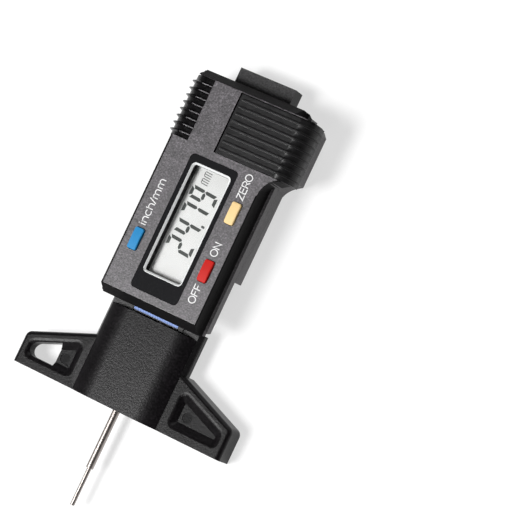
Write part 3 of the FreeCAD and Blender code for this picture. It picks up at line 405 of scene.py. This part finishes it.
def refined(node, name, mat, body, width=0.15, angle=32, segments=2, weld=0.002, face_mat=None, face_z=None,
            patches=(), soften=None):
    """A copy of a CAD node's surface with its corners broken, standing for it."""
    src = nodes[node]
    me = src.data.copy()
    me.name = name
    bm = bmesh.new()
    bm.from_mesh(me)
    bmesh.ops.remove_doubles(bm, verts=bm.verts, dist=weld * MM)
    bmesh.ops.dissolve_degenerate(bm, dist=1e-7, edges=bm.edges)
    bmesh.ops.dissolve_limit(bm, angle_limit=math.radians(0.6), verts=bm.verts, edges=bm.edges)
    bmesh.ops.recalc_face_normals(bm, faces=bm.faces)
    if soften:
        test, offset = soften
        rim = [e for e in bm.edges if len(e.link_faces) == 2 and test(
            (e.verts[0].co + e.verts[1].co) / 2 / MM, e.link_faces[0].normal, e.link_faces[1].normal)]
        bmesh.ops.bevel(bm, geom=rim, offset=offset * MM, offset_type="OFFSET", segments=4, profile=0.5,
                        affect="EDGES", clamp_overlap=False)
    for fc in bm.faces:
        fc.smooth = True
    bm.to_mesh(me)
    bm.free()
    if me.attributes.get("custom_normal"):
        me.attributes.remove(me.attributes["custom_normal"])
    me.materials.clear()
    me.materials.append(M[mat].m)
    if face_mat:
        me.materials.append(M[face_mat].m)
        for pl in me.polygons:
            if pl.normal.z > 0.9 and pl.center.z > face_z * MM:
                pl.material_index = 1
    for mat_key, test in patches:
        me.materials.append(M[mat_key].m)
        for pl in me.polygons:
            if test(pl.center / MM, pl.normal):
                pl.material_index = len(me.materials) - 1
    o = bpy.data.objects.new(name, me)
    scene.collection.objects.link(o)
    bv = o.modifiers.new("bevel", "BEVEL")
    bv.width = width * MM
    bv.segments = segments
    bv.limit_method = "ANGLE"
    bv.angle_limit = math.radians(angle)
    bv.use_clamp_overlap = True
    bv.harden_normals = False
    if face_mat:
        bv.material = 0
    wn = o.modifiers.new("normals", "WEIGHTED_NORMAL")
    wn.weight = 80
    wn.keep_sharp = False
    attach(o, body)
    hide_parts(node)
    return o


# ------------------------------------------------------------ display reading
LCD_TOP = 7.7


def segment_digit(on, left, base_x, height=7.5, width=3.15, thick=0.84, gap=0.05, slant=0.09):
    """Outlines of one seven-segment figure.  It reads along +Y with its top
    toward -X; left is the figure's left edge in Y, base_x its foot in X."""
    h, t, w2 = height, thick, width
    m = h / 2
    b = t * 0.55
    shapes = {
        "a": [(b, h), (w2 - b, h), (w2 - t - gap, h - t), (t + gap, h - t)],
        "d": [(b, 0), (t + gap, t), (w2 - t - gap, t), (w2 - b, 0)],
        "g": [(t * 0.75, m), (t * 1.3, m + t / 2), (w2 - t * 1.3, m + t / 2), (w2 - t * 0.75, m),
              (w2 - t * 1.3, m - t / 2), (t * 1.3, m - t / 2)],
        "f": [(0, h - b), (t, h - t - gap * 1.3), (t, m + t * 0.55 + gap), (t * 0.5, m + gap), (0, m + t * 0.35 + gap)],
        "b": [(w2, h - b), (w2, m + t * 0.35 + gap), (w2 - t * 0.5, m + gap), (w2 - t, m + t * 0.55 + gap),
              (w2 - t, h - t - gap * 1.3)],
        "e": [(0, b), (0, m - t * 0.35 - gap), (t * 0.5, m - gap), (t, m - t * 0.55 - gap), (t, t + gap * 1.3)],
        "c": [(w2, b), (w2 - t, t + gap * 1.3), (w2 - t, m - t * 0.55 - gap), (w2 - t * 0.5, m - gap),
              (w2, m - t * 0.35 - gap)],
    }
    return [[(base_x - v, left + u + slant * v) for u, v in shapes[s]] for s in on]


BASE_X = 3.84
loops = []
for on, left in (("abged", 39.78), ("fgbc", 44.03), ("abc", 48.30), ("abfgcd", 52.58)):
    loops += segment_digit(on, left, BASE_X)
loops += [[(BASE_X - v, 47.58 + u + 0.09 * v) for u, v in
           [(0.05, 0.0), (0.45, 0.0), (0.58, 0.2), (0.58, 0.75), (0.45, 0.92), (0.12, 0.92), (0, 0.75), (0, 0.2)]]]
v, f = prism(loops, LCD_TOP - 0.005, LCD_TOP + 0.02)
mesh_object("reading_digits", v, f, "segment", "head")


def stroke(u0, v0, u1, v1, t, origin, slant):
    """A thin bar between two points of a letter's own plane."""
    d = Vector((u1 - u0, v1 - v0))
    n = Vector((-d.y, d.x)).normalized() * t / 2
    pts = [(u0 + n.x, v0 + n.y), (u1 + n.x, v1 + n.y), (u1 - n.x, v1 - n.y), (u0 - n.x, v0 - n.y)]
    return [(origin[0] - q, origin[1] + p + slant * q) for p, q in pts]


loops = []
for k in (0.0, 1.72):
    for u in (0.12, 0.70, 1.28):
        loops.append(stroke(u + k, 0.0, u + k, 1.84, 0.21, (-0.10, 57.10), 0.09))
    loops.append(stroke(0.22 + k, 1.90, 1.18 + k, 1.90, 0.20, (-0.10, 57.10), 0.09))
v, f = prism(loops, LCD_TOP - 0.005, LCD_TOP + 0.02)
mesh_object("reading_unit", v, f, "segment_thin", "head")


# ---------------------------------------------------------------- labels
def bow(cx, cy, rx, ry, a0, a1, n=14):
    return [(cx + rx * math.cos(math.radians(a0 + (a1 - a0) * k / n)),
             cy + ry * math.sin(math.radians(a0 + (a1 - a0) * k / n))) for k in range(n + 1)]


# strokes of each letter: (advance, [lines]) for a capital height of 1
GLYPHS = {
    "i": (0.22, [[(0.08, 0), (0.08, 0.74)], [(0.08, 0.90), (0.08, 1.0)]]),
    "n": (0.60, [[(0.08, 0), (0.08, 0.74)], [(0.08, 0.44)] + bow(0.29, 0.46, 0.21, 0.27, 150, 0) + [(0.50, 0)]]),
    "c": (0.56, [bow(0.30, 0.37, 0.25, 0.37, 48, 312)]),
    "h": (0.60, [[(0.08, 0), (0.08, 1.0)], [(0.08, 0.44)] + bow(0.29, 0.46, 0.21, 0.27, 150, 0) + [(0.50, 0)]]),
    "m": (0.92, [[(0.08, 0), (0.08, 0.74)], [(0.08, 0.46)] + bow(0.25, 0.48, 0.17, 0.25, 150, 0) + [(0.42, 0)],
                 [(0.42, 0.46)] + bow(0.61, 0.48, 0.19, 0.25, 150, 0) + [(0.80, 0)]]),
    "/": (0.36, [[(0.02, -0.02), (0.32, 1.02)]]),
    "Z": (0.74, [[(0.08, 1.0), (0.66, 1.0), (0.05, 0), (0.68, 0)]]),
    "E": (0.74, [[(0.68, 1.0), (0.11, 1.0), (0.11, 0), (0.70, 0)], [(0.11, 0.52), (0.64, 0.52)]]),
    "R": (0.80, [[(0.11, 0), (0.11, 1.0), (0.45, 1.0)] + bow(0.45, 0.73, 0.25, 0.27, 90, -90) + [(0.11, 0.46)],
                 [(0.44, 0.46), (0.74, 0)]]),
    "O": (0.88, [bow(0.43, 0.5, 0.38, 0.51, 0, 360, 36)]),
    "N": (0.82, [[(0.10, 0), (0.10, 1.0), (0.70, 0), (0.70, 1.0)]]),
    "F": (0.68, [[(0.11, 0), (0.11, 1.0), (0.64, 1.0)], [(0.11, 0.52), (0.56, 0.52)]]),
}


def ribbon(pts, t, closed):
    """Left and right edges of a line of width t, mitred at its corners."""
    n, left, right = len(pts), [], []
    for i in range(n):
        a2 = pts[(i - 1) % n] if (closed or i) else None
        c2 = pts[(i + 1) % n] if (closed or i < n - 1) else None
        dirs = []
        if a2 is not None:
            dirs.append((Vector(pts[i]) - Vector(a2)).normalized())
        if c2 is not None:
            dirs.append((Vector(c2) - Vector(pts[i])).normalized())
        norms = [Vector((-q.y, q.x)) for q in dirs]
        m = sum(norms, Vector((0, 0))).normalized()
        k = (t / 2) / max(0.45, m.dot(norms[0]))
        left.append(Vector(pts[i]) + m * k)
        right.append(Vector(pts[i]) - m * k)
    return left, right


def label(name, text, x_foot, y0, y1, cap, body="head", z=10.2, weight=0.24):
    """Printed lettering that reads along +Y with its top toward -X."""
    lines, u0 = [], 0.0
    for ch in text:
        adv, strokes = GLYPHS[ch]
        lines += [[(u0 + u, q) for u, q in st2] for st2 in strokes]
        u0 += adv + 0.0
    us = [u for ln in lines for u, q in ln]
    sx = (y1 - y0 - weight) / (max(us) - min(us))
    sy = cap - weight
    v, f = [], []
    for ln in lines:
        closed = (Vector(ln[0]) - Vector(ln[-1])).length < 1e-6
        ln = ln[:-1] if closed else ln
        pts = [((u - min(us)) * sx, q * sy) for u, q in ln]
        le, ri = ribbon(pts, weight, closed)
        k, n = len(v), len(pts)
        for zz in (z - 0.002, z + 0.02):
            for edge in (le, ri):
                v += [(x_foot - weight / 2 - q.y, y0 + weight / 2 + q.x, zz) for q in edge]
        L0, R0, L1, R1 = k, k + n, k + 2 * n, k + 3 * n
        for i in range(n if closed else n - 1):
            j = (i + 1) % n
            f += [[L1 + i, L1 + j, R1 + j, R1 + i], [L0 + i, R0 + i, R0 + j, L0 + j],
                  [L0 + i, L0 + j, L1 + j, L1 + i], [R0 + i, R1 + i, R1 + j, R0 + j]]
        if not closed:
            f += [[L0, L1, R1, R0], [L0 + n - 1, R0 + n - 1, R1 + n - 1, L1 + n - 1]]
    return mesh_object(name, v, f, "white", body)


label("label_unit", "inch/mm", -9.05, 42.60, 54.35, 2.15)
label("label_zero", "ZERO", 10.90, 57.14, 63.64, 2.0)
label("label_on", "ON", 10.95, 42.50, 45.98, 2.0)
label("label_off", "OFF", 10.95, 30.46, 35.25, 2.0)


# ------------------------------------------------------- window edge with a painted highlight
def ring_outline(x0, x1, y0, y1, r, n=8):
    pts = []
    for cx, cy, a0 in ((x1 - r, y1 - r, 0), (x0 + r, y1 - r, 90), (x0 + r, y0 + r, 180), (x1 - r, y0 + r, 270)):
        for k in range(n + 1):
            a = math.radians(a0 + 90 * k / n)
            pts.append((cx + r * math.cos(a), cy + r * math.sin(a)))
    return pts


def edge_ring(name, mat, body):
    rings = [
        (ring_outline(-5.00, 5.90, 32.70, 61.20, 1.10), 10.185),
        (ring_outline(-4.93, 5.83, 32.77, 61.13, 1.03), 10.20),
        (ring_outline(-4.50, 5.40, 33.20, 60.70, 0.62), 9.775),
        (ring_outline(-4.545, 5.445, 33.155, 60.745, 0.65), 9.70),
    ]
    v, f = [], []
    n = len(rings[0][0])
    for pts, z in rings:
        v += [(x, y, z) for x, y in pts]
    for r in range(4):
        a, b2 = r * n, ((r + 1) % 4) * n
        f += [[a + i, a + (i + 1) % n, b2 + (i + 1) % n, b2 + i] for i in range(n)]
    return mesh_object(name, v, f, mat, body, smooth=False)


edge_ring("window_edge_painted_highlight", "rim", "head")

# --------------------------------------------------------- refined surfaces
# painted shade on the wing pocket floors (pad) and painted light on the beam's upward faces (beam)
refined("foot_beam", "foot_and_beam", "nylon", "frame", 0.16, angle=18, patches=(
    ("pad", lambda c, n: n.z > 0.95 and 0.6 < c.z < 1.2 and abs(c.x) > 14.5 and c.y < 12),
    ("beam", lambda c, n: n.z > 0.95 and c.y > 23.5 and c.z > 2.0),
    ("wing", lambda c, n: n.z > 0.95 and 1.6 < c.z < 2.6 and abs(c.x) > 13.2 and c.y < 20),
    ("pin", lambda c, n: n.z > 0.9 and c.z < 1.3 and (abs(c.x) - 17.75) ** 2 + (c.y - 5.75) ** 2 < 0.5),
), soften=(lambda m, n1, n2: 1.9 < m.z < 2.4 and abs(m.x) > 13.5 and 0.3 < m.y < 14 and max(n1.z, n2.z) > 0.99
           and 0.05 < min(n1.z, n2.z) < 0.9, 0.50))
# painted shade: the walls, the bevel of the face's rolled left edge, the grip scoop and the end slope take darkened
# copies of the shell plastic
refined("front_shell", "head_shell", "side", "head", 0.17, face_mat="shell", face_z=10.0, patches=(
    ("side", lambda c, n: c.z > 9.8 and c.x < -13.1 and 0.2 < n.z < 0.999),
    ("grip", lambda c, n: c.x < -8.6 and 65.0 < c.y < 80.7 and c.z > 4.0 and not (n.z > 0.99 and c.z > 10.1)),
    ("slope", lambda c, n: n.y > 0.5 and n.z > 0.2 and c.y > 80.5),
    ("skirt", lambda c, n: c.z < 5.7 and -0.4 < n.z < 0.9 and abs(c.x) > 13.55 and c.x * n.x > 0 and c.y < 64.0),
    ("skirt", lambda c, n: 2.9 < c.z < 5.7 and n.y < -0.5 and abs(c.x) > 13.4 and c.y < 27.0),
))
# painted shade on the back cover's faces apart from its outer walls
refined("back_cover", "head_back", "dark", "head", 0.16, patches=(
    ("skirt", lambda c, n: abs(n.z) < 0.8 and abs(c.x) > 13.6 and c.x * n.x > 0),
))
refined("probe_rod", "probe", "chrome", "head", 0.06, angle=40)
refined("battery_cover", "battery_lid_cover", "dark", "battery_lid", 0.08)

# ---------------------------------------------------------- floor and lights
FLOOR_Z = -4.06 * MM
me = bpy.data.meshes.new("floor")
s = 3.0
me.from_pydata([(-s, -s, FLOOR_Z), (s, -s, FLOOR_Z), (s, s, FLOOR_Z), (-s, s, FLOOR_Z)], [], [[0, 1, 2, 3]])
floor = bpy.data.objects.new("floor", me)
scene.collection.objects.link(floor)
fm = Mat("floor_paper")
fm.colour(fm.ramp(fm.noise(40.0, 2.0), [(0.3, (0.31, 0.31, 0.31)), (0.7, (0.335, 0.335, 0.335))]))
fm.set(Roughness=0.9, Emission_Color=(1, 1, 1, 1), Emission_Strength=0.62, Specular_IOR_Level=0.1)
me.materials.append(fm.m)

world = bpy.data.worlds.new("studio")
scene.world = world
world.use_nodes = True
bg = world.node_tree.nodes["Background"]
wn_t = world.node_tree
sky = wn_t.nodes.new("ShaderNodeTexCoord")
split = wn_t.nodes.new("ShaderNodeSeparateXYZ")
level = wn_t.nodes.new("ShaderNodeMapRange")
level.interpolation_type = "SMOOTHSTEP"
level.inputs["From Min"].default_value = 0.30
level.inputs["From Max"].default_value = 0.62
level.inputs["To Min"].default_value = 0.28
level.inputs["To Max"].default_value = 0.03
wn_t.links.new(sky.outputs["Generated"], split.inputs[0])
wn_t.links.new(split.outputs["Z"], level.inputs["Value"])
wn_t.links.new(level.outputs[0], bg.inputs["Strength"])
bg.inputs[0].default_value = (1, 1, 1, 1)


def area(name, direction, distance, size, energy, size_y=None, target=(0, 0.03, 0)):
    d = Vector(direction).normalized()
    li = bpy.data.lights.new(name, "AREA")
    li.shape = "RECTANGLE"
    li.size = size
    li.size_y = size_y or size
    li.energy = energy
    o = bpy.data.objects.new(name, li)
    scene.collection.objects.link(o)
    o.location = Vector(target) + d * distance
    o.rotation_mode = "QUATERNION"
    o.rotation_quaternion = (-d).to_track_quat("-Z", "Y")
    return o


area("key", (-0.36, -0.36, 0.86), 1.1, 0.45, 19.6)
area("fill_back", (0.10, 0.85, 0.50), 1.2, 0.9, 3.2)
area("fill_front", (0.30, -0.85, 0.43), 1.2, 0.7, 2.2)

# --------------------------------------------------------------------- camera
th, ph, ro = 0.4050046959770179, -0.0375162330739785, -0.440877554571041
S_PX, U0, V0, DIST = 4.2129081291828925, 165.86445869891884, 254.0 + 40.2553047212351, 600.0
ct, st, cp, sp, cr, sr = math.cos(th), math.sin(th), math.cos(ph), math.sin(ph), math.cos(ro), math.sin(ro)
Ry = Matrix(((ct, 0, -st), (0, 1, 0), (st, 0, ct)))
Rx = Matrix(((1, 0, 0), (0, cp, -sp), (0, sp, cp)))
Rz = Matrix(((cr, -sr, 0), (sr, cr, 0), (0, 0, 1)))
R = Rz @ Rx @ Ry
focal_px = S_PX * DIST
at = Vector(((U0 - 255) / S_PX, -(V0 - 255) / S_PX, -DIST))
eye = Vector((0, 30, 3)) - R.transposed() @ at
cam_data = bpy.data.cameras.new("camera")
cam_data.sensor_width = 36.0
cam_data.lens = focal_px / 510 * 36.0
cam_data.clip_start, cam_data.clip_end = 0.05, 20.0
camera = bpy.data.objects.new("camera", cam_data)
scene.collection.objects.link(camera)
camera.matrix_world = Matrix.Translation(eye * MM) @ R.transposed().to_4x4()
scene.camera = camera
scene.view_settings.view_transform = "Standard"
scene.view_settings.look = "None"

bpy.context.view_layer.update()
